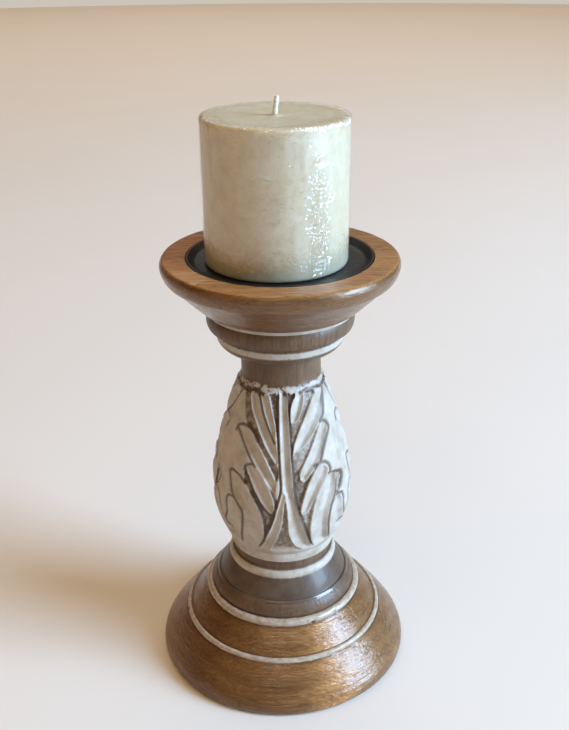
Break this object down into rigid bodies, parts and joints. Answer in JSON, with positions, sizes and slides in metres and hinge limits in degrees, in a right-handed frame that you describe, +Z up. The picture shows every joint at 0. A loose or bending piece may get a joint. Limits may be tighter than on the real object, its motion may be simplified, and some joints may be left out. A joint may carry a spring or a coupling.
{
  "type": "pillar candle holder",
  "caption": "Turned wooden pillar candle holder with a carved baluster spindle, wide cup, loose metal dish and a plain pillar candle in clear wrap.",
  "frame": {"origin": "on the table, under the centre of the felt pad", "axes": "+Z up along the turning axis, -Y towards the front leaf of the carving, +X to the right"},
  "size_m": [0.1508, 0.1508, 0.334],
  "materials": {
    "felt": "dense brown felt",
    "brown_wood": "brown stain, satin varnish, face grain",
    "carved_wood": "whitewash rubbed back over dark brown stain",
    "black_metal": "black powder coat",
    "screw_steel": "zinc plated",
    "wax": "ivory paraffin wax, slightly mottled",
    "clear_film": "clear shrink film",
    "tin": "tinplate",
    "wick_cotton": "waxed braided cotton"
  },
  "bodies": {
    "root": {"felt_disc": "felt", "base": "brown_wood", "spindle": "carved_wood", "cup": "brown_wood", "base_screw": "screw_steel", "base_washer": "screw_steel", "cup_screw": "screw_steel"},
    "dish": {"dish": "black_metal"},
    "candle": {"candle_wax": "wax", "candle_film": "clear_film", "wick_tab": "tin", "wick": "wick_cotton"}
  },
  "joints": [
    {"name": "dish_lift", "type": "slide", "parent": "root", "child": "dish", "axis": [0, 0, 1], "range_m": [0, 0.04]},
    {"name": "candle_lift", "type": "slide", "parent": "dish", "child": "candle", "axis": [0, 0, 1], "range_m": [0, 0.06]}
  ]
}
